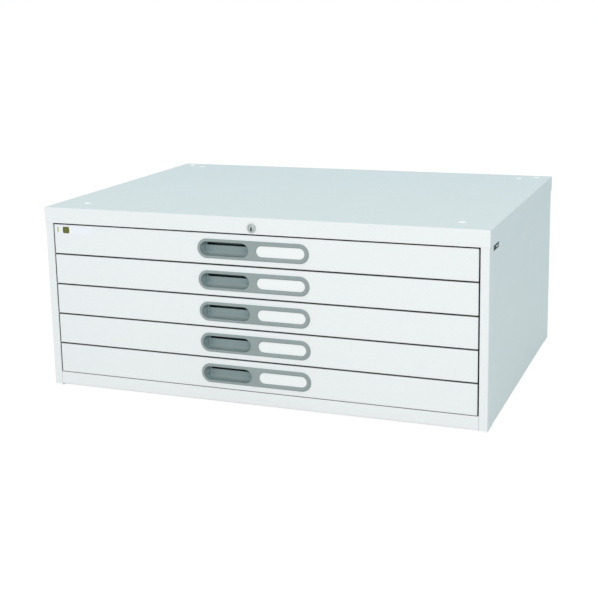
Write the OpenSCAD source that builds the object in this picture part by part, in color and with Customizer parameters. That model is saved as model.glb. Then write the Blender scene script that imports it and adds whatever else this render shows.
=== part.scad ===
// Flat file cabinet for large sheets: a steel case with five shallow drawers on three-part slides.
// Each drawer front carries one long moulded pull with a finger recess and a label window.
// One lock in the top rail lifts a bar at the back, which holds all five drawers.
// Millimetres. Origin on the floor under the middle of the case; the front faces -Y, up is +Z.

/* [Cabinet] */
// Outer width of the case
cabinet_w = 980; // [880:10:1200]
// Outer depth of the case
cabinet_d = 700; // [660:10:900]
// Outer height, with the glides
cabinet_h = 403; // [388:1:480]
// Height of the glides under the corners
glide_h = 3; // [2:0.5:8]
// Height of the top cover's turned-down edge
cover_edge_h = 34; // [30:1:44]
// Height of the plinth above the bottom of the case
plinth_h = 28.4; // [24:0.2:34]
// Width of the front corner post that is folded into each side panel
post_w = 18; // [16:0.5:21]
// Thickness of the sheet steel
sheet = 1; // [0.8:0.1:1.1]
// Radius of a bend, along the middle of the sheet
bend_r = 1.5; // [1.2:0.1:2]

/* [Drawers] */
// Gap above each drawer front
front_gap = 3.2; // [2:0.1:4]
// Gap at each end of a drawer front
side_gap = 2.8; // [2.3:0.1:4]
// Gap between the lowest drawer front and the plinth
plinth_gap = 1.6; // [1.2:0.1:4]
// Depth of the hollow drawer front
front_depth = 28; // [26:1:31]
// Height of a drawer tray's walls
tray_h = 50; // [44:1:52]
// Height of a tray's bottom above the lower edge of its front
tray_lift = 7; // [5:0.5:8]
// Width of the turned-in edge along the top of a tray's walls
tray_hem = 8; // [5:1:14]

/* [Pull] */
// Width of the moulded pull
pull_w = 247; // [225:1:280]
// Height of the moulded pull
pull_h = 41.3; // [40:0.1:46]
// Thickness of the pull's face plate
pull_plate = 3; // [3:0.5:5]
// Width of the finger recess
recess_w = 108.5; // [95:0.5:110]
// Height of the finger recess
recess_h = 29.5; // [26:0.5:30.5]
// Width of the label window
window_w = 113.5; // [100:0.5:114]
// Height of the label window
window_h = 29; // [26:0.5:31]
// Width of the label card
card_w = 110; // [96:0.5:111]
// Height of the label card
card_h = 25; // [22:0.5:27]

/* [Slides] */
// Height of a slide's outer rail
slide_h = 35; // [34:0.5:40]
// Width of a slide, from the upright to the tray
slide_w = 12.7; // [12.7:0.1:14]
// Thickness of a slide's rails
rail_t = 1.2; // [1:0.1:1.4]

/* [Lock] */
// Diameter of the lock's face
lock_d = 18.6; // [17:0.2:20]
// How far the lock stands out of the top cover
lock_proud = 3.5; // [2:0.5:6]
// Lift of the lock bar
bar_lift = 10; // [10:0.5:11]

/* [Hidden] */
DRAWERS = 5;
DRAWER_PIECES = ["front", "tray", "handle", "label_card", "inner_rails", "middle_rails", "cabinet_rails"];
CASE_NODES = [
    "top_cover", "left_side_panel", "right_side_panel", "back_panel", "bottom_panel", "front_plinth",
    "left_front_upright", "left_rear_upright", "right_front_upright", "right_rear_upright",
    "slide_screws", "corner_glides", "top_hole_plugs", "back_panel_screws", "side_label", "drawer_1_sticker"
];
LOCK_NODES = [
    "lock_housing", "lock_nut", "lock_plug", "lock_rod", "lock_crank",
    "lock_rod_bracket", "lock_bar", "lock_tongues", "lock_bar_guides"
];

ARC_STEPS = 6;
END_STEPS = 20;
EPS = 0.5;
$fn = 48;

case_grey = [0.93, 0.95, 0.955];
inner_grey = [0.80, 0.82, 0.82];
pull_grey = [0.56, 0.62, 0.61];
zinc = [0.72, 0.73, 0.74];
nickel = [0.68, 0.70, 0.70];
paper_white = [0.95, 0.96, 0.97];

// Case
half_w = cabinet_w / 2;
front_y = -cabinet_d / 2;
back_y = cabinet_d / 2;
cover_low = cabinet_h - cover_edge_h;
cover_under = cabinet_h - sheet;
side_out = half_w - sheet - 0.5;
side_in = side_out - sheet;
post_y = front_y + sheet + 0.3;
post_back_y = post_y + 23;
post_in = side_out - post_w;
return_back = back_y - 2.3;
return_in = side_out - 28;
case_low = glide_h;
side_top = cover_under - 1;
cover_return = 15;

// Bottom and plinth
plinth_y = post_y + 1.5;
plinth_top = case_low + plinth_h;
bottom_front_y = plinth_y + 23;
bottom_back_y = return_back - sheet - 1.2;
bottom_edge_h = 25;
bottom_half_w = side_in - 0.1;
bolt_x = half_w - 70;
front_bolt_y = front_y + 67;
rear_bolt_y = back_y - 53;
bolt_r = 5;

// Openings in the top cover and their plugs
plug_r = 7;
plug_places = concat(
    [for (x = [-bolt_x, bolt_x], y = [front_bolt_y, rear_bolt_y]) [x, y]],
    [for (x = [-1, 1]) [x * (half_w - 32), back_y - 30]]
);

// Uprights
upright_t = 1.2;
upright_w = 40;
slide_face = post_in - 2.3;
front_upright_y = front_y + 34;
rear_upright_y = back_y - 34 - upright_w;
slide_screw_r = 1.9;
slide_screw_hole_r = 2;
slide_screw_head_r = 3.6;
slide_screw_head_t = 1;
slide_screw_length = 7;

// Back panel
back_in = return_back;
back_out = back_in + sheet;
back_half_w = side_out - 2.5;
screw_x = (return_in + side_out) / 2;
screw_levels = [50, 150, 250, 350];
screw_r = 1.9;
screw_hole_r = 2;

// Drawers
drawer_face_y = front_y + 1;
pitch = (cover_low - plinth_top - plinth_gap) / DRAWERS;
front_h = pitch - front_gap;
front_half_w = post_in - side_gap;
front_back_y = drawer_face_y + front_depth;
front_edge = 10;
tray_half_w = slide_face - slide_w;
tray_front_y = front_back_y;
tray_back_y = back_y - 32;
catch_t = 1.5;
catch_half_w = 20;
catch_reach = 17;
catch_rise = 45;

// Slides: each rail's width runs from the upright, u = 0, to the tray, u = slide_w
slide_front_y = front_upright_y;
slide_back_y = tray_back_y;
outer_arm_u = 8;
middle_web_u = 3.2;
middle_arm_u = 10;
middle_half_h = slide_h / 2 - 4.3;
inner_arm_u = 5.5;
inner_half_h = slide_h / 2 - 8.5;

// Pull
pull_face_y = drawer_face_y - pull_plate;
recess_x = -(pull_w / 2 - 6.8 - recess_w / 2);
window_x = pull_w / 2 - 5.8 - window_w / 2;
recess_depth = 27;
recess_lip = 6;
recess_undercut = 2;
recess_round = 12;
pull_wall = 1.4;
pocket_depth = 2.6;
cutout_w = pull_w - 9;
cutout_h = 37.4;
card_t = 0.4;
window_bevel = 3.6;

// Lock
lock_z = cover_low + 12.5;
lock_hole_r = 8.2;
housing_r = 8;
housing_back_y = front_y + 25;
plug_turn_r = 6;
turn_gap = 0.1;
rod_r = 3;
bracket_y = back_y - 26;
rod_back_y = bracket_y + 7;
crank_t = 3;
pin_offset = bar_lift / 2;
pin_r = 2.5;
bar_y = back_y - 12;
bar_t = 2;
bar_half_w = 13;
bar_low = 55;
bar_high = lock_z + 6.5;
tongue_y = back_y - 21;
tongue_half_w = 7;
tongue_drop = 3;
tongue_h = 15;
guide_levels = [catch_level(1) - 39, catch_level(4) - 39];

function drawer_node(k, piece) =
    piece == "cabinet_rails" ? str("cabinet_rails_", k) : str("drawer_", k, "_", piece);
function drawer_low(k) = cover_low - front_gap - front_h - pitch * (k - 1);
function drawer_mid(k) = drawer_low(k) + front_h / 2;
function tray_low(k) = drawer_low(k) + tray_lift;
function catch_level(k) = drawer_low(k) + catch_rise;

// Outlines

function arc(centre, r, from, to, steps = ARC_STEPS) =
    [for (i = [0:steps]) let (a = from + (to - from) * i / steps) centre + r * [cos(a), sin(a)]];

function heading(p, q) = atan2(q[1] - p[1], q[0] - p[0]);

function left_of(a) = [-sin(a), cos(a)];

function turn(a, b) = (b - a + 540) % 360 - 180;

// One rounded corner of a folded sheet, on the given side of its middle line
function fold_corner(path, i, side, t) =
    let (
        a = heading(path[i - 1], path[i]),
        d = turn(a, heading(path[i], path[i + 1])),
        start = path[i] - bend_r * tan(abs(d) / 2) * [cos(a), sin(a)],
        centre = start + sign(d) * bend_r * left_of(a)
    )
    [for (s = [0:ARC_STEPS]) centre + (side * t / 2 - sign(d) * bend_r) * left_of(a + d * s / ARC_STEPS)];

function fold_side(path, side, t) =
    let (last = len(path) - 1)
    concat(
        [path[0] + side * t / 2 * left_of(heading(path[0], path[1]))],
        [for (i = [1:last - 1]) each fold_corner(path, i, side, t)],
        [path[last] + side * t / 2 * left_of(heading(path[last - 1], path[last]))]
    );

function backwards(v) = [for (i = [len(v) - 1:-1:0]) v[i]];

// Section of a folded sheet whose middle line is the path
module folded(path, t = sheet) {
    polygon(concat(fold_side(path, 1, t), backwards(fold_side(path, -1, t))));
}

// Long slot shape with half-round ends, centred
module stadium(w, h) {
    run = (w - h) / 2;
    polygon(concat(
        arc([run, 0], h / 2, -90, 90, END_STEPS),
        arc([-run, 0], h / 2, 90, 270, END_STEPS)
    ));
}

module rounded_rect(w, d, r) {
    polygon(concat(
        arc([w / 2 - r, d / 2 - r], r, 0, 90),
        arc([r - w / 2, d / 2 - r], r, 90, 180),
        arc([r - w / 2, r - d / 2], r, 180, 270),
        arc([w / 2 - r, r - d / 2], r, 270, 360)
    ));
}

// Rectangle from low to high with only its two upper corners rounded
module arched_rect(w, low, high, r) {
    polygon(concat(
        [[-w / 2, low], [w / 2, low]],
        arc([w / 2 - r, high - r], r, 0, 90),
        arc([r - w / 2, high - r], r, 90, 180)
    ));
}

// Solids

// Runs a section drawn in X and Z along Y
module along_y(from, to) {
    translate([0, to, 0]) rotate([90, 0, 0]) linear_extrude(to - from) children();
}

// Runs a section drawn in Y and Z along X, the same distance each way
module along_x(half) {
    rotate([90, 0, 90]) linear_extrude(2 * half, center = true) children();
}

// Block with a rounded top edge and rounded upright corners
module cushion_block(w, d, low, high, r) {
    intersection() {
        translate([0, 0, low]) linear_extrude(high - low) rounded_rect(w, d, r);
        along_y(-d, d) arched_rect(w, low - 1, high, r);
        along_x(w) arched_rect(d, low - 1, high, r);
    }
}

// Upside-down pan of sheet steel, open below
module pan(w, d, low, high) {
    r = bend_r + sheet / 2;
    difference() {
        cushion_block(w, d, low, high, r);
        cushion_block(w - 2 * sheet, d - 2 * sheet, low - EPS, high - sheet, r - sheet);
    }
}

module box_between(low, high) {
    translate(low) cube(high - low);
}

module y_cylinder(r, from, to) {
    translate([0, from, 0]) rotate([-90, 0, 0]) cylinder(r = r, h = to - from);
}

module x_cylinder(r, from, to) {
    translate([from, 0, 0]) rotate([0, 90, 0]) cylinder(r = r, h = to - from);
}

module both_sides() {
    children();
    mirror([1, 0, 0]) children();
}

// Case

module top_cover() {
    color(case_grey) difference() {
        union() {
            pan(cabinet_w, cabinet_d, cover_low, cabinet_h);
            box_between(
                [-(post_in - 1.5), front_y + sheet / 2, cover_low],
                [post_in - 1.5, front_y + cover_return, cover_low + sheet]
            );
        }
        for (p = plug_places) translate([p[0], p[1], cover_under - EPS])
            cylinder(r = plug_r, h = sheet + 2 * EPS);
        translate([0, 0, lock_z]) y_cylinder(lock_hole_r, front_y - EPS, front_y + sheet + EPS);
    }
}

// The side panel's front edge is folded round into the corner post, and its back edge inwards
module side_panel() {
    x = side_out - sheet / 2;
    y = post_y + sheet / 2;
    difference() {
        translate([0, 0, case_low]) linear_extrude(side_top - case_low) folded([
            [post_in + sheet / 2, post_back_y],
            [post_in + sheet / 2, y],
            [x, y],
            [x, return_back - sheet / 2],
            [return_in, return_back - sheet / 2]
        ]);
        for (z = screw_levels) translate([screw_x, 0, z])
            y_cylinder(screw_hole_r, return_back - 2 * sheet, return_back + sheet);
    }
}

module left_side_panel() {
    color(case_grey) mirror([1, 0, 0]) side_panel();
}

module right_side_panel() {
    color(case_grey) side_panel();
}

module back_panel() {
    color(case_grey) difference() {
        box_between([-back_half_w, back_in, case_low + 2], [back_half_w, back_out, cover_under - 2]);
        both_sides() for (z = screw_levels) translate([screw_x, 0, z])
            y_cylinder(screw_hole_r, back_in - EPS, back_out + EPS);
    }
}

module bottom_panel() {
    z = case_low + sheet / 2;
    color(inner_grey) difference() {
        along_x(bottom_half_w) folded([
            [bottom_front_y, z],
            [bottom_back_y - sheet / 2, z],
            [bottom_back_y - sheet / 2, case_low + bottom_edge_h]
        ]);
        for (x = [-bolt_x, bolt_x], y = [front_bolt_y, rear_bolt_y])
            translate([x, y, case_low - EPS]) cylinder(r = bolt_r, h = sheet + 2 * EPS);
    }
}

module front_plinth() {
    low = case_low + sheet / 2;
    high = plinth_top - sheet / 2;
    color(case_grey) along_x(post_in - 0.2) folded([
        [bottom_front_y, low],
        [plinth_y + sheet / 2, low],
        [plinth_y + sheet / 2, high],
        [bottom_front_y - 3, high]
    ]);
}

// Channel that stands between the bottom panel and the top cover and carries the slides
module upright(y) {
    t = upright_t / 2;
    difference() {
        translate([0, 0, case_low + sheet]) linear_extrude(cover_under - case_low - sheet) folded([
            [side_in, y + t],
            [slide_face + t, y + t],
            [slide_face + t, y + upright_w - t],
            [side_in, y + upright_w - t]
        ], upright_t);
        for (k = [1:DRAWERS]) translate([0, y + upright_w / 2, drawer_mid(k)]) slide_screw_hole();
    }
}

module slide_screw_hole() {
    x_cylinder(slide_screw_hole_r, slide_face - rail_t - EPS, slide_face + upright_t + EPS);
}

// Two screws hold each cabinet rail, one in each upright; their flat heads stay clear of the middle rail
module slide_screws() {
    head_x = slide_face - rail_t;
    color(zinc) both_sides() for (k = [1:DRAWERS], y = [front_upright_y, rear_upright_y])
        translate([0, y + upright_w / 2, drawer_mid(k)]) {
            x_cylinder(slide_screw_head_r, head_x - slide_screw_head_t, head_x);
            x_cylinder(slide_screw_r, head_x, head_x + slide_screw_length);
        }
}

module left_front_upright() {
    color(inner_grey) mirror([1, 0, 0]) upright(front_upright_y);
}

module left_rear_upright() {
    color(inner_grey) mirror([1, 0, 0]) upright(rear_upright_y);
}

module right_front_upright() {
    color(inner_grey) upright(front_upright_y);
}

module right_rear_upright() {
    color(inner_grey) upright(rear_upright_y);
}

module corner_glides() {
    glide_w = post_w + 1;
    glide_d = 44;
    x = side_out - glide_w / 2;
    color(paper_white) both_sides() for (y = [post_y + glide_d / 2, return_back - glide_d / 2])
        translate([x, y, 0]) linear_extrude(glide_h) rounded_rect(glide_w, glide_d, 3);
}

module top_hole_plugs() {
    color(paper_white) for (p = plug_places) translate([p[0], p[1], 0]) {
        translate([0, 0, cover_under]) cylinder(r = plug_r - 0.1, h = sheet);
        translate([0, 0, cover_under - 2]) cylinder(r = plug_r + 1.5, h = 2);
    }
}

module back_panel_screws() {
    color(zinc) both_sides() for (z = screw_levels) translate([screw_x, 0, z]) {
        y_cylinder(screw_r, return_back - 5, back_out);
        y_cylinder(4, back_out, back_out + 1.6);
    }
}

module side_label() {
    color([0.25, 0.28, 0.3]) box_between(
        [side_out, front_y + 36, cover_low - 13.5],
        [side_out + 0.2, front_y + 82, cover_low - 3]
    );
}

// Lock

module lock_housing() {
    color(nickel) translate([0, 0, lock_z]) difference() {
        union() {
            y_cylinder(lock_d / 2, front_y - lock_proud, front_y);
            y_cylinder(housing_r, front_y, housing_back_y);
        }
        y_cylinder(plug_turn_r + turn_gap, front_y - lock_proud - EPS, housing_back_y + EPS);
    }
}

module lock_nut() {
    color(zinc) translate([0, front_y + sheet, lock_z]) rotate([-90, 0, 0]) difference() {
        cylinder(r = 12, h = 4, $fn = 6);
        translate([0, 0, -EPS]) cylinder(r = housing_r + 0.15, h = 4 + 2 * EPS);
    }
}

// The turning core, set a little back in the housing; its keyway is upright when the drawers are free
module lock_plug() {
    key_w = 2.4;
    key_low = -5.3;
    key_high = 1.7;
    face_y = front_y - lock_proud + 1;
    color(nickel) translate([0, 0, lock_z]) difference() {
        y_cylinder(plug_turn_r, face_y, housing_back_y);
        box_between([-key_w / 2, face_y - EPS, key_low], [key_w / 2, face_y + 14, key_high]);
    }
}

module lock_rod() {
    color(zinc) translate([0, 0, lock_z]) y_cylinder(rod_r, housing_back_y, rod_back_y);
}

// Arm on the rod's end; its pin starts low on the left and rises as the key turns clockwise
module lock_crank() {
    color(zinc) translate([0, 0, lock_z]) {
        along_y(rod_back_y, rod_back_y + crank_t) rotate(45) translate([-pin_offset * sqrt(2) / 2, 0])
            stadium(pin_offset * sqrt(2) + 8, 8);
        translate([-pin_offset, 0, -pin_offset]) y_cylinder(pin_r, rod_back_y + crank_t, bar_y + bar_t + 1.5);
    }
}

module lock_rod_bracket() {
    half = 11;
    t = 2;
    color(zinc) difference() {
        union() {
            box_between([-half, bracket_y, lock_z - 8], [half, bracket_y + t, cover_under]);
            box_between([-half, bracket_y - 12, cover_under - t], [half, bracket_y + t, cover_under]);
        }
        translate([0, 0, lock_z]) y_cylinder(rod_r + turn_gap, bracket_y - EPS, bracket_y + t + EPS);
    }
}

module lock_bar() {
    slack = 0.6;
    slot_left = -pin_offset * sqrt(2) - pin_r - slack;
    slot_right = -pin_offset + pin_r + slack;
    slot_half_h = pin_r + slack;
    slot_z = lock_z - pin_offset;
    color(zinc) difference() {
        box_between([-bar_half_w, bar_y, bar_low], [bar_half_w, bar_y + bar_t, bar_high]);
        box_between(
            [slot_left, bar_y - EPS, slot_z - slot_half_h],
            [slot_right, bar_y + bar_t + EPS, slot_z + slot_half_h]
        );
    }
}

// One angle for each drawer: an arm forward from the bar and a tongue that stands up from it
module lock_tongues() {
    t = 2;
    color(zinc) for (k = [1:DRAWERS]) {
        top = catch_level(k) - tongue_drop;
        box_between([-tongue_half_w, tongue_y, top - tongue_h], [tongue_half_w, tongue_y + t, top]);
        box_between([-tongue_half_w, tongue_y, top - tongue_h], [tongue_half_w, bar_y, top - tongue_h + t]);
    }
}

module lock_bar_guides() {
    slack = 0.5;
    color(paper_white) for (z = guide_levels) difference() {
        box_between([-22, bar_y - 2.5, z - 8], [22, back_in, z + 8]);
        box_between(
            [-bar_half_w - slack, bar_y - slack, z - 8 - EPS],
            [bar_half_w + slack, bar_y + bar_t + slack, z + 8 + EPS]
        );
    }
}

// Drawers

// Hollow front: a pan turned on its side, its back edge folded in all round
module drawer_front(k) {
    w = 2 * front_half_w;
    color(case_grey) translate([0, 0, drawer_mid(k)]) rotate([90, 0, 0]) difference() {
        union() {
            pan(w, front_h, -front_back_y, -drawer_face_y);
            translate([0, 0, -front_back_y]) linear_extrude(sheet) difference() {
                square([w - sheet, front_h - sheet], center = true);
                square([w - 2 * front_edge, front_h - 2 * front_edge], center = true);
            }
        }
        translate([0, 0, -drawer_face_y - 2 * sheet]) linear_extrude(3 * sheet) stadium(cutout_w, cutout_h);
    }
}

// Open tray with turned-in edges and, at the back, a slotted catch for the lock
module drawer_tray(k) {
    low = tray_low(k);
    high = low + tray_h;
    catch = catch_level(k);
    color(inner_grey) {
        difference() {
            box_between([-tray_half_w, tray_front_y, low], [tray_half_w, tray_back_y, high]);
            box_between(
                [sheet - tray_half_w, tray_front_y + sheet, low + sheet],
                [tray_half_w - sheet, tray_back_y - sheet, high - sheet]
            );
            box_between(
                [tray_hem - tray_half_w, tray_front_y + sheet, high - 2 * sheet],
                [tray_half_w - tray_hem, tray_back_y - tray_hem, high + EPS]
            );
        }
        difference() {
            box_between(
                [-catch_half_w, tray_back_y, catch],
                [catch_half_w, tray_back_y + catch_reach, catch + catch_t]
            );
            box_between(
                [-tongue_half_w - 3, tongue_y - 2.5, catch - EPS],
                [tongue_half_w + 3, tongue_y + 4.5, catch + catch_t + EPS]
            );
        }
    }
}

// Section of the space behind the finger recess's lip, in Y and Z about the pull's middle
module scoop_section(grow) {
    low = -recess_h / 2 - grow;
    high = recess_h / 2 + recess_undercut + grow;
    back = pull_face_y + recess_depth + grow;
    front = drawer_face_y - 2 * EPS;
    r = recess_round + grow;
    polygon(concat(
        [[front, high], [front, low]],
        arc([back - r, low + r], r, 270, 360),
        arc([back - 4 - grow, high - 4 - grow], 4 + grow, 0, 90)
    ));
}

module scoop(grow) {
    h = recess_h + recess_undercut + 2 * grow;
    intersection() {
        translate([recess_x, 0, 0]) along_x(recess_w / 2 + grow + 1) scoop_section(grow);
        along_y(drawer_face_y - 2 * EPS, 0) translate([recess_x, recess_undercut / 2])
            stadium(recess_w + 2 * grow, h);
    }
}

// The moulded pull: a long plate, a deep finger recess on its left and a label window on its right
module drawer_handle(k) {
    color(pull_grey) translate([0, 0, drawer_mid(k)]) difference() {
        union() {
            along_y(pull_face_y, pull_face_y + 1) stadium(pull_w - 1.6, pull_h - 1.6);
            along_y(pull_face_y + 1, drawer_face_y) stadium(pull_w, pull_h);
            along_y(drawer_face_y, drawer_face_y + pocket_depth) stadium(cutout_w - 1, cutout_h - 1);
            difference() {
                scoop(pull_wall);
                along_y(drawer_face_y - 3, drawer_face_y) square([2 * pull_w, 2 * pull_h], center = true);
            }
        }
        along_y(pull_face_y - EPS, pull_face_y + recess_lip) translate([recess_x, 0])
            stadium(recess_w, recess_h);
        difference() {
            scoop(0);
            along_y(drawer_face_y - 3, pull_face_y + recess_lip - EPS)
                square([2 * pull_w, 2 * pull_h], center = true);
        }
        along_y(pull_face_y - EPS, pull_face_y + 1.4) translate([window_x, 0]) stadium(window_w, window_h);
        along_y(pull_face_y, pull_face_y + 2.2) translate([window_x, 0])
            stadium(window_w - 2 * window_bevel, window_h - 1.6 * window_bevel);
        along_y(pull_face_y + 2.1, pull_face_y + 2.1 + card_t + 0.1) translate([window_x, 0])
            square([card_w + 0.4, card_h + 0.4], center = true);
    }
}

module label_card(k) {
    front = pull_face_y + 2.15;
    color(paper_white) translate([window_x, 0, drawer_mid(k)])
        box_between([-card_w / 2, front, -card_h / 2], [card_w / 2, front + card_t, card_h / 2]);
}

module drawer_sticker() {
    left = 25 - half_w;
    color(paper_white) box_between(
        [left, drawer_face_y - 0.2, cover_low - front_gap - 20.4],
        [left + 90, drawer_face_y, cover_low - front_gap - 1.9]
    );
}

// Slides, as a pair for one drawer: each section is drawn in u and height, and u starts at the upright

module rail_pair(k, from, to) {
    both_sides() translate([slide_face, 0, drawer_mid(k)]) mirror([1, 0, 0])
        along_y(from, to) children();
}

module cabinet_rails(k) {
    half = (slide_h - rail_t) / 2;
    color(zinc) difference() {
        rail_pair(k, slide_front_y, slide_back_y) folded([
            [outer_arm_u, half],
            [rail_t / 2, half],
            [rail_t / 2, -half],
            [outer_arm_u, -half]
        ], rail_t);
        both_sides() for (y = [front_upright_y, rear_upright_y])
            translate([0, y + upright_w / 2, drawer_mid(k)]) slide_screw_hole();
    }
}

module middle_rails(k) {
    color(zinc) rail_pair(k, slide_front_y, slide_back_y) folded([
        [middle_arm_u, middle_half_h],
        [middle_web_u, middle_half_h],
        [middle_web_u, -middle_half_h],
        [middle_arm_u, -middle_half_h]
    ], rail_t);
}

module inner_rails(k) {
    web = slide_w - rail_t / 2;
    color(zinc) rail_pair(k, slide_front_y - 2, slide_back_y) folded([
        [inner_arm_u, inner_half_h],
        [web, inner_half_h],
        [web, -inner_half_h],
        [inner_arm_u, -inner_half_h]
    ], rail_t);
}

module drawer_piece(k, piece) {
    if (piece == "front") drawer_front(k);
    if (piece == "tray") drawer_tray(k);
    if (piece == "handle") drawer_handle(k);
    if (piece == "label_card") label_card(k);
    if (piece == "inner_rails") inner_rails(k);
    if (piece == "middle_rails") middle_rails(k);
    if (piece == "cabinet_rails") cabinet_rails(k);
}

top_cover();
left_side_panel();
right_side_panel();
back_panel();
bottom_panel();
front_plinth();
left_front_upright();
left_rear_upright();
right_front_upright();
right_rear_upright();
slide_screws();
corner_glides();
top_hole_plugs();
back_panel_screws();
side_label();
drawer_sticker();  // drawer_1_sticker
lock_housing();
lock_nut();
lock_plug();
lock_rod();
lock_crank();
lock_rod_bracket();
lock_bar();
lock_tongues();
lock_bar_guides();
for (k = [1:DRAWERS], piece = DRAWER_PIECES)
    drawer_piece(k, piece);
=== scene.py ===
import math

import bmesh
import bpy
from mathutils import Matrix, Quaternion, Vector


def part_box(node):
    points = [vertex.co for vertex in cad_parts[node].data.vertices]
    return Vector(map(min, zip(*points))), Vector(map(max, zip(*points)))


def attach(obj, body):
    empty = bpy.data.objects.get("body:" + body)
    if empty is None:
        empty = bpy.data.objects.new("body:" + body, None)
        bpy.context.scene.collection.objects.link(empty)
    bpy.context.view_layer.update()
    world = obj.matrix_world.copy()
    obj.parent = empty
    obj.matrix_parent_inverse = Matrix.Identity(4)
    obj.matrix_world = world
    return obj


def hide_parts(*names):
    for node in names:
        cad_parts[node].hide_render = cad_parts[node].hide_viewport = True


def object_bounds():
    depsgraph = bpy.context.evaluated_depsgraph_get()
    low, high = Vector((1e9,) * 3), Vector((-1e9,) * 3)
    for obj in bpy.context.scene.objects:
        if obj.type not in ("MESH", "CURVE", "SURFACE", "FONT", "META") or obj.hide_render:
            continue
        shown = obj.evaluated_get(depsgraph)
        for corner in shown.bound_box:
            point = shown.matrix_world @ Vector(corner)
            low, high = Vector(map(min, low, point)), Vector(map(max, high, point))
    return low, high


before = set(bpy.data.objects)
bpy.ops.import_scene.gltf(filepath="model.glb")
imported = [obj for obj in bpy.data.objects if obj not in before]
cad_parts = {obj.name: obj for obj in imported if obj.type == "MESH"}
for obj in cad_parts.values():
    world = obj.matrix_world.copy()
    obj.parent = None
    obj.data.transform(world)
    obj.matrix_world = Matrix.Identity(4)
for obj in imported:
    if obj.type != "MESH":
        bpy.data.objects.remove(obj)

CAD_LOW, CAD_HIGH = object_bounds()
MM = 0.001
DRAWERS = range(1, 6)

# Camera, floor and light
CAMERA_PLACE = (0.946, -2.516, 0.840)
CAMERA_AIM = (-0.3553, 0.9130, -0.2004)
CAMERA_ROLL = 1.1
CAMERA_LENS = 71.4
CAMERA_SHIFT = -0.1
CAMERA_SENSOR = 36
CAMERA_REACH = 200
FLOOR_SIZE = 60
FLOOR_CELLS = 8
FLOOR_GLOW = 1.08
FLOOR_GLOW_SHARE = 0.88
WORLD_COLOUR = (0.828, 0.977, 1.0, 1.0)
WORLD_STRENGTH = 0.832
KEY_PLACE = (0.55, -4.75, 2.55)
KEY_AIM = (0.0, -0.3, 0.2)
KEY_SIZE = 0.7
KEY_WATTS = 104
KEY_COLOUR = (1.0, 0.792, 0.763)

# Pull, in metres
EDGE_DEPTH = 2.7 * MM
EDGE_ROUND = 1.2 * MM
EDGE_SLOPE = math.radians(50)
PLATE_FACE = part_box("drawer_1_handle")[0].y
FRONT_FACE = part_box("drawer_1_front")[0].y
PULL_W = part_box("drawer_1_handle")[1].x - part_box("drawer_1_handle")[0].x
PULL_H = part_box("drawer_1_handle")[1].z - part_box("drawer_1_handle")[0].z
RECESS_W = 108.5 * MM
RECESS_H = 29.5 * MM
RECESS_X = -62.45 * MM
RECESS_DEPTH = 18.5 * MM
RECESS_WALL = 1.4 * MM
RECESS_DRAFT = 5.0 * MM
RECESS_CORNER = 8.0 * MM
RECESS_CURVE = 3.0 * MM
RECESS_FLOOR_CURVE = 4.5 * MM
UNDERCUT = 2.5 * MM
LIP_ROUND = 1.0 * MM
LIP_DEPTH = 3.5 * MM
LIP_STEP_DEPTH = 4.2 * MM
LIP_STEP_OUT = 0.4 * MM
LIP_BACK = 5.2 * MM
HOOK_LOW = 4.5 * MM
HOOK_HIGH = 13.6 * MM
HOOK_DEPTH = 8.0 * MM
HOOK_SIDE = 3.5 * MM
HOOK_CORNER = 3.0 * MM
WINDOW_X = 61.45 * MM
WINDOW_ROUND = 3.6 * MM
WINDOW_SLOPE = math.radians(60)
RIM_DEPTH = 1.9 * MM
CARD_SHOWN_W = 105.5 * MM
CARD_SHOWN_H = 23.3 * MM
CARD_DEPTH = 2.2 * MM
CARD_THICK = 0.3 * MM
CARD_PLAY = 0.4 * MM
POCKET_DEPTH = 2.65 * MM
BOSS_W = PULL_W - 10 * MM
BOSS_H = 36.4 * MM
BOSS_BACK = FRONT_FACE + 2.6 * MM

# Lock, plugs, glides, screws and labels, in metres
HOUSING_BORE = 6.1 * MM
HOUSING_BARREL = 8.0 * MM
CORE_RADIUS = 6.0 * MM
KEYWAY_W = 3.4 * MM
KEYWAY_H = 7.4 * MM
KEYWAY_CORNER = 0.8 * MM
KEYWAY_CHAMFER = 0.1 * MM
KEYWAY_DEPTH = 12 * MM
KEYWAY_DROP = 1.3 * MM
BOLT_PLUG_X = 420 * MM
BOLT_PLUG_FRONT_Y = -283 * MM
BOLT_PLUG_REAR_Y = 297 * MM
REAR_PLUG_X = 458 * MM
REAR_PLUG_Y = 320 * MM
GLIDE_W = 19 * MM
GLIDE_D = 44 * MM
GLIDE_CORNER = 3 * MM
SCREW_SHANK = 1.9 * MM
SCREW_HEAD = 4.0 * MM
SCREW_HEAD_HIGH = 1.5 * MM
SCREWS_PER_SIDE = 4
CROSS_ARM = 1.75 * MM
CROSS_HALF = 0.42 * MM
CROSS_FOOT = 0.5 * MM
CROSS_TAPER = 0.55
STICKER_THICK = 0.12 * MM
PRINT_THICK = 0.05 * MM
LABEL_THICK = 0.2 * MM

# Meshes
ARC_STEPS = 5
WINDOW_STEPS = 7
CURVE_STEPS = 8
SAME_PLACE = 0.001 * MM
FLAT_FACE_WEIGHT = 80
SOFT_EDGE = 0.3 * MM
SOFT_EDGE_ANGLE = math.radians(50)
WELD_REACH = 0.01 * MM


# Mesh tools

def rounded_ring(cx, cz, w, h, r, y, corner_steps=10):
    """Points round a rectangle with round corners, parallel to X-Z at y, with their outward directions."""
    r = min(r, w / 2, h / 2)
    points = []
    for sx, sz, start in ((1, 1, 0), (-1, 1, 90), (-1, -1, 180), (1, -1, 270)):
        for i in range(corner_steps + 1):
            a = math.radians(start + 90 * i / corner_steps)
            out = Vector((math.cos(a), 0, math.sin(a)))
            centre = Vector((cx + sx * (w / 2 - r), y, cz + sz * (h / 2 - r)))
            points.append((centre + r * out, out))
    return points


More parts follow.
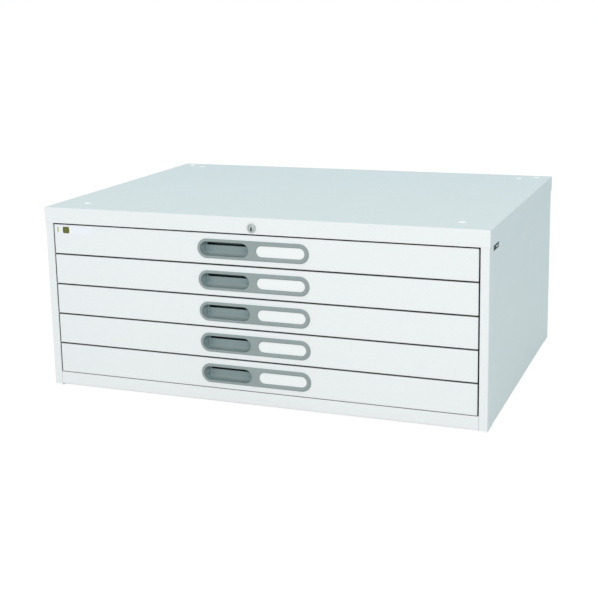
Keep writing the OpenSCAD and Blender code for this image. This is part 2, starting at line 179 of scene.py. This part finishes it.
def inset(ring, amount, dy=0.0):
    """The ring moved inwards along its own directions, and back by dy."""
    return [(p - out * amount + Vector((0, dy, 0)), out) for p, out in ring]


def at_depth(ring, y, grow=0.0):
    """The ring put at y, and grown outwards along its own directions."""
    return [(Vector((p.x, y, p.z)) + out * grow, out) for p, out in ring]


def add_ring(bm, ring):
    return [bm.verts.new(p) for p, out in ring]


def bridge(bm, a, b):
    for i in range(len(a)):
        j = (i + 1) % len(a)
        bm.faces.new((a[i], a[j], b[j], b[i]))


def loft(bm, rings):
    """Joins rings of equal count one after another, and returns the first and last as vertices."""
    made = [add_ring(bm, ring) for ring in rings]
    for a, b in zip(made, made[1:]):
        bridge(bm, a, b)
    return made[0], made[-1]


def loop_edges(bm, verts):
    edges = []
    for i in range(len(verts)):
        pair = (verts[i], verts[(i + 1) % len(verts)])
        edges.append(bm.edges.get(pair) or bm.edges.new(pair))
    return edges


def fill_between(bm, *loops):
    """Fills the flat region between an outer loop and the loops inside it."""
    edges = [e for loop in loops for e in loop_edges(bm, loop)]
    bmesh.ops.triangle_fill(bm, use_beauty=True, use_dissolve=False, edges=edges)


def finish_mesh(bm, name, material, smooth_angle=35):
    """Makes the object, with outward faces, and with edges sharper than the angle kept crisp."""
    bmesh.ops.remove_doubles(bm, verts=bm.verts, dist=SAME_PLACE)
    bmesh.ops.recalc_face_normals(bm, faces=bm.faces)
    mesh = bpy.data.meshes.new(name)
    bm.to_mesh(mesh)
    bm.free()
    mesh.polygons.foreach_set("use_smooth", [True] * len(mesh.polygons))
    mesh.set_sharp_from_angle(angle=math.radians(smooth_angle))
    mesh.materials.append(material)
    piece = bpy.data.objects.new(name, mesh)
    bpy.context.scene.collection.objects.link(piece)
    keep_flats_flat(piece)
    return piece


def keep_flats_flat(piece):
    """Lets the large faces set the shading next to them, so that it doesn't run across them."""
    weighted = piece.modifiers.new("weighted_normals", "WEIGHTED_NORMAL")
    weighted.keep_sharp = True
    weighted.weight = FLAT_FACE_WEIGHT


def sloped_edge(ring, face_y):
    """Rings that lean in from the foot of a plate's edge and round over into its face, at face_y."""
    slope_depth = EDGE_DEPTH - EDGE_ROUND * (1 - math.cos(EDGE_SLOPE))
    width = EDGE_ROUND * math.sin(EDGE_SLOPE) + slope_depth / math.tan(EDGE_SLOPE)
    rings = [at_depth(ring, face_y + EDGE_DEPTH)]
    for step in range(ARC_STEPS + 1):
        a = EDGE_SLOPE * (1 - step / ARC_STEPS)
        y = face_y + EDGE_ROUND * (1 - math.cos(a))
        rings.append(at_depth(ring, y, EDGE_ROUND * math.sin(a) - width))
    return rings


def lathe(bm, profile, centre, steps):
    """Turns (radius, y) pairs round a line along Y, and returns the first and last loops."""
    rings = []
    for r, y in profile:
        rings.append([
            (Vector((centre.x + r * math.cos(a), y, centre.z + r * math.sin(a))), None)
            for a in (2 * math.pi * i / steps for i in range(steps))
        ])
    return loft(bm, rings)


# Materials

# How far a surface looks for others near it, and the tint of painted shade it takes at each openness from
# 0 to 1: shade painted into the colour where parts close in
SEAM_REACH = 12 * MM
METAL_REACH = 4 * MM
RECESS_REACH = 28 * MM
# Painted shade: black deep in the gaps between drawer fronts and panels, up to the paint's own colour
# where the surface is open
SEAM_SHADE = [(0.08, (0.0, 0.0, 0.0)), (0.36, (1.0, 1.0, 1.0))]
# Painted shade: near black in the keyway and the inside corners of steel parts
METAL_SHADE = [(0.35, (0.01, 0.01, 0.01)), (0.95, (1.0, 1.0, 1.0))]
# Painted shade in the pull's finger recess: near black under the lip, and at middling openness a cool blue
# tint brighter than the plastic, which is painted light standing in for the sky's light inside
RECESS_SHADE = [
    (0.24, (0.01, 0.02, 0.02)), (0.38, (0.62, 0.74, 0.78)),
    (0.6, (0.93, 1.07, 1.12)), (0.9, (1.0, 1.0, 1.0))
]
SHADE_SAMPLES = 12
FILM_GRAIN = 0.01 * MM

# The part of a noise's range that is used, from its low patches to its high ones
NOISE_LOW = 0.3
NOISE_HIGH = 0.7


def new_material(name):
    material = bpy.data.materials.new(name)
    material.use_nodes = True
    tree = material.node_tree
    shader = tree.nodes["Principled BSDF"]
    return material, tree, shader


def noise(tree, scale, detail, roughness=0.5, vector=None):
    node = tree.nodes.new("ShaderNodeTexNoise")
    node.inputs["Scale"].default_value = scale
    node.inputs["Detail"].default_value = detail
    node.inputs["Roughness"].default_value = roughness
    tree.links.new(vector or object_place(tree), node.inputs["Vector"])
    return node.outputs["Fac"]


def object_place(tree):
    node = tree.nodes.get("place")
    if node is None:
        node = tree.nodes.new("ShaderNodeTexCoord")
        node.name = "place"
    return node.outputs["Object"]


def stretched(tree, scale):
    """Object coordinates stretched by a factor on each axis."""
    node = tree.nodes.new("ShaderNodeMapping")
    node.inputs["Scale"].default_value = scale
    tree.links.new(object_place(tree), node.inputs["Vector"])
    return node.outputs["Vector"]


def ramp(tree, value, stops):
    node = tree.nodes.new("ShaderNodeValToRGB")
    first, last = node.color_ramp.elements
    first.position, first.color = stops[0][0], (*stops[0][1], 1)
    last.position, last.color = stops[-1][0], (*stops[-1][1], 1)
    for position, colour in stops[1:-1]:
        node.color_ramp.elements.new(position).color = (*colour, 1)
    tree.links.new(value, node.inputs["Fac"])
    return node.outputs["Color"]


def clouded(tree, value, dark, light):
    """A colour that drifts from dark to light with a noise value."""
    return ramp(tree, value, [(NOISE_LOW, dark), (NOISE_HIGH, light)])


def span(tree, value, low, high):
    """A number that drifts from low to high with a noise value."""
    node = tree.nodes.new("ShaderNodeMapRange")
    node.inputs["From Min"].default_value = NOISE_LOW
    node.inputs["From Max"].default_value = NOISE_HIGH
    node.inputs["To Min"].default_value = low
    node.inputs["To Max"].default_value = high
    tree.links.new(value, node.inputs["Value"])
    return node.outputs["Result"]


def bump(tree, height, distance, strength, under=None):
    node = tree.nodes.new("ShaderNodeBump")
    node.inputs["Distance"].default_value = distance
    node.inputs["Strength"].default_value = strength
    tree.links.new(height, node.inputs["Height"])
    if under is not None:
        tree.links.new(under, node.inputs["Normal"])
    return node.outputs["Normal"]


def shaded(colour, factor):
    return tuple(c * factor for c in colour)


def multiplied(tree, a, b):
    mix = tree.nodes.new("ShaderNodeMix")
    mix.data_type = "RGBA"
    mix.blend_type = "MULTIPLY"
    mix.inputs["Factor"].default_value = 1.0
    tree.links.new(a, mix.inputs["A"])
    tree.links.new(b, mix.inputs["B"])
    return mix.outputs["Result"]


def painted_crevice_shade(tree, colour, reach, stops):
    """Paints shade into seams and inside corners out to the given reach: each stop is an openness and a
    tint of painted shade.
    """
    hollow = tree.nodes.new("ShaderNodeAmbientOcclusion")
    hollow.samples = SHADE_SAMPLES
    hollow.inputs["Distance"].default_value = reach
    return multiplied(tree, colour, ramp(tree, hollow.outputs["AO"], stops))


def powder_coat(name, colour):
    """Baked paint on steel: a fine orange-peel skin, faint clouds, and a gloss that varies a little, with
    shade painted into its seams and inside corners.
    """
    material, tree, shader = new_material(name)
    clouds = noise(tree, 2.2, 4)
    speck = noise(tree, 420, 2, 0.6)
    base = clouded(tree, clouds, shaded(colour, 0.985), colour)
    specks = ramp(tree, speck, [(0.35, (0.985, 0.985, 0.985)), (0.65, (1, 1, 1))])
    # Painted shade: the paint goes dark in seams and gaps between parts
    paint = painted_crevice_shade(tree, multiplied(tree, base, specks), SEAM_REACH, SEAM_SHADE)
    tree.links.new(paint, shader.inputs["Base Color"])
    tree.links.new(span(tree, noise(tree, 14, 4), 0.36, 0.46), shader.inputs["Roughness"])
    waves = bump(tree, noise(tree, 6, 2), 0.0006, 0.3)
    tree.links.new(bump(tree, noise(tree, 650, 2, 0.4), 0.00003, 0.5, waves), shader.inputs["Normal"])
    shader.inputs["Specular IOR Level"].default_value = 0.45
    shader.inputs["Coat Weight"].default_value = 0.12
    shader.inputs["Coat Roughness"].default_value = 0.22
    return material


def moulded_plastic(name, dark, light, rough=(0.42, 0.55), grain=0.00004, painted_hollow_shade=None):
    """Spark-grained moulding: a fine pitted skin with soft flow marks, and shade painted into its recess
    when shade stops are given.
    """
    material, tree, shader = new_material(name)
    flow = noise(tree, 18, 4, 0.55, stretched(tree, (0.35, 1, 1)))
    flowed = clouded(tree, flow, dark, light)
    tree.links.new(span(tree, noise(tree, 60, 3), *rough), shader.inputs["Roughness"])
    pits = tree.nodes.new("ShaderNodeTexVoronoi")
    pits.inputs["Scale"].default_value = 1100
    tree.links.new(object_place(tree), pits.inputs["Vector"])
    pitted = ramp(tree, pits.outputs["Distance"], [(0.1, (0.90,) * 3), (0.6, (1.0,) * 3)])
    skin = multiplied(tree, flowed, pitted)
    if painted_hollow_shade:
        # Painted shade: the recess goes dark under its lip and takes painted cool light on its walls
        skin = painted_crevice_shade(tree, skin, RECESS_REACH, painted_hollow_shade)
    tree.links.new(skin, shader.inputs["Base Color"])
    tree.links.new(bump(tree, pits.outputs["Distance"], grain, 0.6), shader.inputs["Normal"])
    shader.inputs["Specular IOR Level"].default_value = 0.4
    return material


def label_plastic(name, dark, light, rough):
    """Printed film: the moulded plastic with hardly any grain."""
    return moulded_plastic(name, dark, light, rough, FILM_GRAIN)


def plated_steel(name, colour, rough=(0.24, 0.4), grain=(40, 900, 900)):
    """Zinc or nickel plate with fine drawing lines, faint blotches and a soft shine, with shade painted
    into its inside corners and keyway.
    """
    material, tree, shader = new_material(name)
    blotches = noise(tree, 35, 5, 0.6)
    plate = clouded(tree, blotches, shaded(colour, 0.88), colour)
    # Painted shade: the plate goes dark in the keyway and inside corners
    tree.links.new(painted_crevice_shade(tree, plate, METAL_REACH, METAL_SHADE), shader.inputs["Base Color"])
    lines = noise(tree, 1, 2, 0.5, stretched(tree, grain))
    tree.links.new(span(tree, lines, *rough), shader.inputs["Roughness"])
    tree.links.new(bump(tree, lines, 0.00001, 0.4), shader.inputs["Normal"])
    shader.inputs["Metallic"].default_value = 1.0
    return material


def paper(name, colour):
    """Card stock: pale fibres and a matt surface."""
    material, tree, shader = new_material(name)
    fibres = noise(tree, 1, 5, 0.7, stretched(tree, (500, 500, 1600)))
    sheet = clouded(tree, fibres, shaded(colour, 0.97), colour)
    tree.links.new(sheet, shader.inputs["Base Color"])
    tree.links.new(bump(tree, fibres, 0.00002, 0.5), shader.inputs["Normal"])
    shader.inputs["Roughness"].default_value = 0.75
    shader.inputs["Specular IOR Level"].default_value = 0.3
    return material


CASE_PAINT = powder_coat("case_paint", (0.765, 0.795, 0.800))
INNER_PAINT = powder_coat("inner_paint", (0.66, 0.685, 0.69))
# The pulls' plastic carries the recess's painted shade and painted cool light
PULL_PLASTIC = moulded_plastic(
    "pull_plastic", (0.256, 0.310, 0.305), (0.282, 0.337, 0.331), grain=0.00009, painted_hollow_shade=RECESS_SHADE
)
WHITE_PLASTIC = moulded_plastic("white_plastic", (0.93, 0.94, 0.95), (0.96, 0.97, 0.98), (0.3, 0.42))
SLIDE_STEEL = plated_steel("slide_steel", (0.62, 0.63, 0.64), grain=(900, 12, 900))
ZINC_STEEL = plated_steel("zinc_steel", (0.60, 0.61, 0.62))
NICKEL = plated_steel("nickel", (0.66, 0.68, 0.67), (0.16, 0.28), (300, 300, 300))
CARD = paper("card", (0.80, 0.83, 0.83))
LABEL_FILM = label_plastic("label_film", (0.008, 0.012, 0.012), (0.012, 0.018, 0.018), (0.5, 0.6))
STICKER_FILM = label_plastic("sticker_film", (0.78, 0.80, 0.86), (0.80, 0.82, 0.88), (0.25, 0.35))
STICKER_YELLOW = label_plastic("sticker_yellow", (0.46, 0.50, 0.15), (0.50, 0.54, 0.18), (0.3, 0.4))
STICKER_OLIVE = label_plastic("sticker_olive", (0.10, 0.115, 0.012), (0.13, 0.145, 0.018), (0.3, 0.4))


# CAD nodes that are shown as they are

def soften_edges(obj):
    """Rounds a piece's crisp edges a little."""
    weld = obj.modifiers.new("weld", "WELD")
    weld.merge_threshold = WELD_REACH
    bevel = obj.modifiers.new("soft_edges", "BEVEL")
    bevel.width = SOFT_EDGE
    bevel.segments = 2
    bevel.limit_method = "ANGLE"
    bevel.angle_limit = SOFT_EDGE_ANGLE
    bevel.use_clamp_overlap = True
    keep_flats_flat(obj)


def dress(node, material, softened=False):
    """Gives a CAD node its material. A piece that isn't softened keeps its faces and bends as they are."""
    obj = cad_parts[node]
    obj.data.materials.clear()
    obj.data.materials.append(material)
    obj.data.polygons.foreach_set("use_smooth", [softened] * len(obj.data.polygons))
    if softened:
        soften_edges(obj)


PAINTED_NODES = ["top_cover", "left_side_panel", "right_side_panel", "back_panel", "front_plinth"]
INNER_NODES = [
    "bottom_panel", "left_front_upright", "left_rear_upright", "right_front_upright", "right_rear_upright"
]
SMALL_STEEL_NODES = [
    "slide_screws", "lock_nut", "lock_rod", "lock_crank", "lock_rod_bracket", "lock_bar", "lock_tongues"
]


def dress_cad_nodes():
    for node in PAINTED_NODES:
        dress(node, CASE_PAINT)
    for node in INNER_NODES:
        dress(node, INNER_PAINT)
    for node in SMALL_STEEL_NODES:
        dress(node, ZINC_STEEL, softened=True)
    dress("lock_bar_guides", WHITE_PLASTIC)
    for k in DRAWERS:
        dress(f"drawer_{k}_front", CASE_PAINT)
        dress(f"drawer_{k}_tray", INNER_PAINT)
        for rail in (f"drawer_{k}_inner_rails", f"drawer_{k}_middle_rails", f"cabinet_rails_{k}"):
            dress(rail, SLIDE_STEEL)


# Pulls and cards

def recess_outline(cz, grow, draft=0.0):
    """Outline of the space behind the recess's lip, which is a little higher than the mouth."""
    wide = RECESS_W + 2 * (grow - draft)
    high = RECESS_H + UNDERCUT + 2 * grow
    return rounded_ring(RECESS_X, cz + UNDERCUT / 2, wide, high, RECESS_CORNER + grow, 0)


def lip_rings(cz):
    """Rings of the recess's mouth: a rounded lip, and the step outwards behind it."""
    mouth = rounded_ring(RECESS_X, cz, RECESS_W, RECESS_H, RECESS_H / 2, 0)
    rings = []
    for step in range(ARC_STEPS + 1):
        a = math.radians(90 * step / ARC_STEPS)
        y = PLATE_FACE + LIP_ROUND * (1 - math.cos(a))
        rings.append(at_depth(mouth, y, LIP_ROUND * (1 - math.sin(a))))
    rings.append(at_depth(mouth, PLATE_FACE + LIP_DEPTH))
    rings.append(at_depth(mouth, PLATE_FACE + LIP_STEP_DEPTH, LIP_STEP_OUT))
    rings.append(at_depth(recess_outline(cz, 0), PLATE_FACE + LIP_BACK))
    return rings


def recess_rings(cz, grow=0.0):
    """Rings from the drafted end walls to the foot of the back wall. The floor is a long curve."""
    back = PLATE_FACE + RECESS_DEPTH + grow
    wall = recess_outline(cz, grow, RECESS_DRAFT)
    rings = []
    for step in range(CURVE_STEPS + 1):
        a = math.radians(90 * step / CURVE_STEPS)
        ring = []
        for p, out in wall:
            downward = max(0.0, -out.z)
            r = RECESS_CURVE + RECESS_FLOOR_CURVE * downward + grow
            place = Vector((p.x, back - r * (1 - math.sin(a)), p.z)) - out * r * (1 - math.cos(a))
            ring.append((place, out))
        rings.append(ring)
    return rings


def finger_hook(cz, grow=0.0):
    """Rings of the pocket along the top of the back wall, where the finger tips hook in behind the lip."""
    back = PLATE_FACE + RECESS_DEPTH + grow
    middle = cz + (HOOK_LOW + HOOK_HIGH) / 2
    wide = RECESS_W - 2 * RECESS_DRAFT - 2 * HOOK_SIDE + 2 * grow
    tall = HOOK_HIGH - HOOK_LOW + 2 * grow
    mouth = rounded_ring(RECESS_X, middle, wide, tall, HOOK_CORNER + grow, back)
    return [
        mouth,
        inset(mouth, 0.4 * MM, 0.5 * MM),
        inset(mouth, 0.7 * MM, HOOK_DEPTH - 1 * MM),
        inset(mouth, 1.5 * MM, HOOK_DEPTH)
    ]


def window_rings(cz):
    """Rings of the label window: a rim that rounds in over the card's edge, and the pocket behind."""
    shown = rounded_ring(WINDOW_X, cz, CARD_SHOWN_W, CARD_SHOWN_H, CARD_SHOWN_H / 2, 0)
    rings = []
    for step in range(WINDOW_STEPS + 1):
        a = WINDOW_SLOPE * step / WINDOW_STEPS
        grow = WINDOW_ROUND * (math.sin(WINDOW_SLOPE) - math.sin(a))
        rings.append(at_depth(shown, PLATE_FACE + WINDOW_ROUND * (1 - math.cos(a)), grow))
    rings.append(at_depth(shown, PLATE_FACE + RIM_DEPTH))
    rings.append(at_depth(shown, PLATE_FACE + POCKET_DEPTH))
    return rings


def pull(k):
    """One moulding: a plate with a finger recess and a label window, and the boss and shell behind it."""
    node = f"drawer_{k}_handle"
    low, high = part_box(node)
    cz = (low.z + high.z) / 2
    bm = bmesh.new()

    outline = rounded_ring(0, cz, PULL_W, PULL_H, PULL_H / 2, FRONT_FACE)
    outer_low, outer_top = loft(bm, [outline] + sloped_edge(outline, PLATE_FACE))
    recess_top, recess_back = loft(bm, lip_rings(cz) + recess_rings(cz))
    hook_mouth, hook_back = loft(bm, finger_hook(cz))
    bm.faces.new(hook_back)
    fill_between(bm, recess_back, hook_mouth)
    window_top, window_back = loft(bm, window_rings(cz))
    bm.faces.new(window_back)
    fill_between(bm, outer_top, recess_top, window_top)

    boss = rounded_ring(0, cz, BOSS_W, BOSS_H, BOSS_H / 2, FRONT_FACE)
    boss_low, boss_back = loft(bm, [boss, inset(boss, 0.3 * MM, BOSS_BACK - FRONT_FACE)])
    fill_between(bm, outer_low, boss_low)
    shell_foot = at_depth(recess_outline(cz, RECESS_WALL), BOSS_BACK)
    shell_low, shell_back = loft(bm, [shell_foot] + recess_rings(cz, RECESS_WALL))
    hump_foot, hump_back = loft(bm, finger_hook(cz, RECESS_WALL))
    bm.faces.new(hump_back)
    fill_between(bm, shell_back, hump_foot)
    fill_between(bm, boss_back, shell_low)

    piece = finish_mesh(bm, f"pull_{k}", PULL_PLASTIC, smooth_angle=40)
    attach(piece, f"drawer_{k}")
    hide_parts(node)


def label_card(k):
    """A card with round ends and a softened front edge."""
    node = f"drawer_{k}_label_card"
    low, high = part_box(node)
    cz = (low.z + high.z) / 2
    bm = bmesh.new()
    w = CARD_SHOWN_W - CARD_PLAY
    h = CARD_SHOWN_H - CARD_PLAY
    face = rounded_ring(WINDOW_X, cz, w, h, h / 2, PLATE_FACE + CARD_DEPTH)
    edge = inset(face, 0, CARD_THICK)
    front, back = loft(bm, [inset(face, 0.15 * MM, -0.05 * MM), face, edge])
    bm.faces.new(front)
    bm.faces.new(back)
    piece = finish_mesh(bm, f"label_card_{k}", CARD)
    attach(piece, f"drawer_{k}")
    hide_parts(node)


# Lock, plugs, glides, screws and labels

def lock_face():
    """The housing: a ring on the cover's edge with a rounded face, and its barrel behind."""
    low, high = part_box("lock_housing")
    centre = (low + high) / 2
    r = (high.x - low.x) / 2
    front = low.y
    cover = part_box("top_cover")[0].y
    profile = [
        (HOUSING_BORE, high.y), (HOUSING_BARREL, high.y), (HOUSING_BARREL, cover), (r, cover),
        (r, front + 1.1 * MM), (r - 0.15 * MM, front + 0.6 * MM), (r - 0.5 * MM, front + 0.2 * MM),
        (r - 1.1 * MM, front), (7.4 * MM, front), (6.9 * MM, front + 0.15 * MM),
        (6.6 * MM, front + 0.5 * MM), (HOUSING_BORE, front + 0.6 * MM), (HOUSING_BORE, high.y)
    ]
    bm = bmesh.new()
    lathe(bm, profile, centre, steps=72)
    piece = finish_mesh(bm, "lock_ring", NICKEL, smooth_angle=30)
    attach(piece, "case")
    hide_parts("lock_housing")


def lock_core():
    """The core's keyway is a deep slot with a narrow chamfer."""
    low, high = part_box("lock_plug")
    centre = (low + high) / 2
    front = low.y
    r = CORE_RADIUS
    bm = bmesh.new()
    profile = [
        (r, high.y), (r, front + 0.5 * MM), (r - 0.15 * MM, front + 0.15 * MM), (r - 0.4 * MM, front),
        (r - 0.6 * MM, front)
    ]
    back, rim = lathe(bm, profile, centre, steps=72)
    bm.faces.new(back)
    key_z = centre.z - KEYWAY_DROP
    throat = rounded_ring(
        centre.x, key_z, KEYWAY_W, KEYWAY_H, KEYWAY_CORNER, front + KEYWAY_CHAMFER, corner_steps=4
    )
    mouth = inset(throat, -KEYWAY_CHAMFER, -KEYWAY_CHAMFER)
    mouth_loop, end_loop = loft(bm, [mouth, throat, inset(throat, 0, KEYWAY_DEPTH)])
    bm.faces.new(end_loop)
    fill_between(bm, rim, mouth_loop)
    piece = finish_mesh(bm, "lock_core_face", NICKEL, smooth_angle=30)
    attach(piece, "lock_core")
    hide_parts("lock_plug")


def turned_up(piece, x, y, z):
    """Stands a piece that was made along Y up along Z, with its -Y end on top, at the given place."""
    stand = Matrix.Translation((x, y, z)) @ Matrix.Rotation(math.radians(-90), 4, "X")
    piece.data.transform(stand)


def top_plugs():
    """Six domed plugs: four straight above the base bolt holes, and two near the rear corners."""
    places = [(x, y) for x in (-BOLT_PLUG_X, BOLT_PLUG_X) for y in (BOLT_PLUG_FRONT_Y, BOLT_PLUG_REAR_Y)]
    places += [(x, REAR_PLUG_Y) for x in (-REAR_PLUG_X, REAR_PLUG_X)]
    profile = [
        (0.6 * MM, 3.0 * MM), (6.8 * MM, 3.0 * MM), (6.8 * MM, 0.0), (7.9 * MM, 0.0),
        (7.9 * MM, -0.35 * MM), (7.5 * MM, -0.8 * MM), (6.8 * MM, -1.15 * MM), (5.4 * MM, -1.5 * MM),
        (3.6 * MM, -1.75 * MM), (1.8 * MM, -1.85 * MM), (0.6 * MM, -1.87 * MM)
    ]
    for i, (x, y) in enumerate(places):
        bm = bmesh.new()
        first, last = lathe(bm, profile, Vector((0, 0, 0)), steps=48)
        bm.faces.new(first)
        bm.faces.new(last)
        piece = finish_mesh(bm, f"top_plug_{i + 1}", WHITE_PLASTIC)
        turned_up(piece, x, y, CAD_HIGH.z)
        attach(piece, "case")
        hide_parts("top_hole_plugs")


def corner_glides():
    """Four blocks whose lower edges are rounded."""
    low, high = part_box("corner_glides")
    for i, sx in enumerate((-1, 1)):
        for j, y in enumerate((low.y + GLIDE_D / 2, high.y - GLIDE_D / 2)):
            bm = bmesh.new()
            x = sx * (high.x - GLIDE_W / 2)
            ring = rounded_ring(0, 0, GLIDE_W, GLIDE_D, GLIDE_CORNER, 0)
            first, last = loft(bm, [
                inset(ring, 0.8 * MM, 0), inset(ring, 0.2 * MM, -0.3 * MM), inset(ring, 0, -0.8 * MM),
                inset(ring, 0, -high.z + 0.2 * MM), inset(ring, 0.2 * MM, -high.z)
            ])
            bm.faces.new(first)
            bm.faces.new(last)
            piece = finish_mesh(bm, f"corner_glide_{2 * i + j + 1}", WHITE_PLASTIC)
            turned_up(piece, x, y, 0)
            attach(piece, "case")
            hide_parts("corner_glides")


def cross_outline(arm, half):
    """Corners of a plus sign, one quarter turn after another."""
    points = []
    corners = [(arm, -half), (arm, half), (half, half)]
    for quarter in range(4):
        points += corners
        corners = [(-b, a) for a, b in corners]
    return points


def back_screws():
    """Pan-head screws with a cross recess."""
    low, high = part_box("back_panel_screws")
    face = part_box("back_panel")[1].y
    x_out = high.x - SCREW_HEAD
    pitch = (high.z - low.z - 2 * SCREW_HEAD) / (SCREWS_PER_SIDE - 1)
    levels = [low.z + SCREW_HEAD + i * pitch for i in range(SCREWS_PER_SIDE)]
    outline = cross_outline(CROSS_ARM, CROSS_HALF)
    profile = [
        (SCREW_SHANK, low.y), (SCREW_SHANK, face), (SCREW_HEAD, face), (SCREW_HEAD, face + 0.5 * MM),
        (3.7 * MM, face + 1.0 * MM), (3.1 * MM, face + 1.35 * MM), (2.4 * MM, face + SCREW_HEAD_HIGH)
    ]
    for i, x in enumerate((-x_out, x_out)):
        for j, z in enumerate(levels):
            bm = bmesh.new()
            centre = Vector((x, 0, z))
            first, last = lathe(bm, profile, centre, steps=40)
            bm.faces.new(first)
            cross = []
            for size, y in ((1, face + SCREW_HEAD_HIGH), (CROSS_TAPER, face + CROSS_FOOT)):
                cross.append([(centre + Vector((a * size, y, b * size)), None) for a, b in outline])
            top_loop, foot_loop = loft(bm, cross)
            bm.faces.new(foot_loop)
            fill_between(bm, last, top_loop)
            piece = finish_mesh(bm, f"back_screw_{SCREWS_PER_SIDE * i + j + 1}", ZINC_STEEL)
            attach(piece, "case")
            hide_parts("back_panel_screws")


def film(name, material, low, high, y, thickness, corner):
    """A thin label with round corners that lies on a face looking towards -Y."""
    bm = bmesh.new()
    wide = high[0] - low[0]
    tall = high[1] - low[1]
    ring = rounded_ring(low[0] + wide / 2, low[1] + tall / 2, wide, tall, corner, y)
    front, back = loft(bm, [inset(ring, thickness / 2, -thickness), inset(ring, 0, -thickness / 2), ring])
    bm.faces.new(front)
    bm.faces.new(back)
    return finish_mesh(bm, name, material)


def front_sticker():
    """A blank strip on the top drawer with a small bar and a small square of colour at its left end."""
    low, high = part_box("drawer_1_sticker")
    middle = (low.z + high.z) / 2
    face = FRONT_FACE - STICKER_THICK
    corners = (low.x, low.z), (high.x, high.z)
    sheet = film("front_sticker", STICKER_FILM, *corners, FRONT_FACE, STICKER_THICK, corner=1.5 * MM)
    corners = (low.x + 5 * MM, middle - 6 * MM), (low.x + 9 * MM, middle + 6 * MM)
    bar = film("front_sticker_bar", STICKER_YELLOW, *corners, face, PRINT_THICK, corner=1 * MM)
    corners = (low.x + 19 * MM, middle - 7.5 * MM), (low.x + 35 * MM, middle + 7 * MM)
    square = film("front_sticker_square", STICKER_OLIVE, *corners, face, PRINT_THICK, corner=3 * MM)
    for piece in (sheet, bar, square):
        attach(piece, "drawer_1")
        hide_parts("drawer_1_sticker")


def side_plate():
    """A small dark plate with a blank pale panel."""
    low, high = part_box("side_label")
    length = high.y - low.y
    height = high.z - low.z
    plate = film("side_plate", LABEL_FILM, (0, 0), (length, height), 0, LABEL_THICK, corner=1 * MM)
    panel = film(
        "side_plate_panel", STICKER_FILM, (19 * MM, 4.0 * MM), (length - 7 * MM, height - 4.2 * MM),
        -LABEL_THICK, PRINT_THICK, corner=0.8 * MM
    )
    stand = Matrix.Translation((low.x, low.y, low.z)) @ Matrix.Rotation(math.radians(90), 4, "Z")
    for piece, slot in ((plate, "dark_label"), (panel, "card")):
        piece.data.transform(stand)
        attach(piece, "case")
        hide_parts("side_label")


# Studio

def camera_sees(tree, lit, seen, share):
    """The lit shader, mixed with the seen one by a share that only the camera's own rays get."""
    path = tree.nodes.new("ShaderNodeLightPath")
    part = tree.nodes.new("ShaderNodeMath")
    part.operation = "MULTIPLY"
    part.inputs[1].default_value = share
    mix = tree.nodes.new("ShaderNodeMixShader")
    tree.links.new(path.outputs["Is Camera Ray"], part.inputs[0])
    tree.links.new(part.outputs[0], mix.inputs[0])
    tree.links.new(lit, mix.inputs[1])
    tree.links.new(seen, mix.inputs[2])
    return mix.outputs[0]


def floor():
    """A pale floor that blows out to white in the picture, with a faint contact shadow."""
    material, tree, shader = new_material("floor")
    drift = clouded(tree, noise(tree, 3, 3), (0.80, 0.80, 0.80), (0.82, 0.82, 0.82))
    tree.links.new(drift, shader.inputs["Base Color"])
    shader.inputs["Roughness"].default_value = 0.8
    glow = tree.nodes.new("ShaderNodeEmission")
    glow.inputs["Strength"].default_value = FLOOR_GLOW
    output = tree.nodes["Material Output"]
    seen = camera_sees(tree, shader.outputs[0], glow.outputs[0], FLOOR_GLOW_SHARE)
    tree.links.new(seen, output.inputs["Surface"])
    bm = bmesh.new()
    bmesh.ops.create_grid(bm, x_segments=FLOOR_CELLS, y_segments=FLOOR_CELLS, size=FLOOR_SIZE)
    mesh = bpy.data.meshes.new("floor")
    bm.to_mesh(mesh)
    bm.free()
    mesh.materials.append(material)
    obj = bpy.data.objects.new("floor", mesh)
    bpy.context.scene.collection.objects.link(obj)


def key_light():
    data = bpy.data.lights.new("key", "AREA")
    data.shape = "DISK"
    data.size = KEY_SIZE
    data.energy = KEY_WATTS
    data.color = KEY_COLOUR
    light = bpy.data.objects.new("key", data)
    light.location = KEY_PLACE
    light.rotation_mode = "QUATERNION"
    light.rotation_quaternion = (Vector(KEY_AIM) - Vector(KEY_PLACE)).to_track_quat("-Z", "Y")
    bpy.context.scene.collection.objects.link(light)


def studio():
    """An even pale world that the camera sees as white, and the key light."""
    world = bpy.data.worlds.new("studio")
    world.use_nodes = True
    tree = world.node_tree
    background = tree.nodes["Background"]
    background.inputs["Color"].default_value = WORLD_COLOUR
    background.inputs["Strength"].default_value = WORLD_STRENGTH
    white = tree.nodes.new("ShaderNodeBackground")
    white.inputs["Color"].default_value = (1, 1, 1, 1)
    seen = camera_sees(tree, background.outputs[0], white.outputs[0], 1.0)
    tree.links.new(seen, tree.nodes["World Output"].inputs["Surface"])
    bpy.context.scene.world = world
    key_light()
    bpy.context.scene.view_settings.view_transform = "Standard"
    bpy.context.scene.view_settings.look = "None"


def camera():
    data = bpy.data.cameras.new("camera")
    data.sensor_width = CAMERA_SENSOR
    data.lens = CAMERA_LENS
    data.shift_y = CAMERA_SHIFT
    data.clip_end = CAMERA_REACH
    cam = bpy.data.objects.new("camera", data)
    cam.location = CAMERA_PLACE
    cam.rotation_mode = "QUATERNION"
    aim = Vector(CAMERA_AIM).normalized()
    roll = Quaternion(aim, math.radians(CAMERA_ROLL))
    cam.rotation_quaternion = roll @ aim.to_track_quat("-Z", "Y")
    bpy.context.scene.collection.objects.link(cam)
    bpy.context.scene.camera = cam


camera()
studio()
floor()
dress_cad_nodes()
for k in DRAWERS:
    pull(k)
    label_card(k)
lock_face()
lock_core()
top_plugs()
corner_glides()
back_screws()
front_sticker()
side_plate()
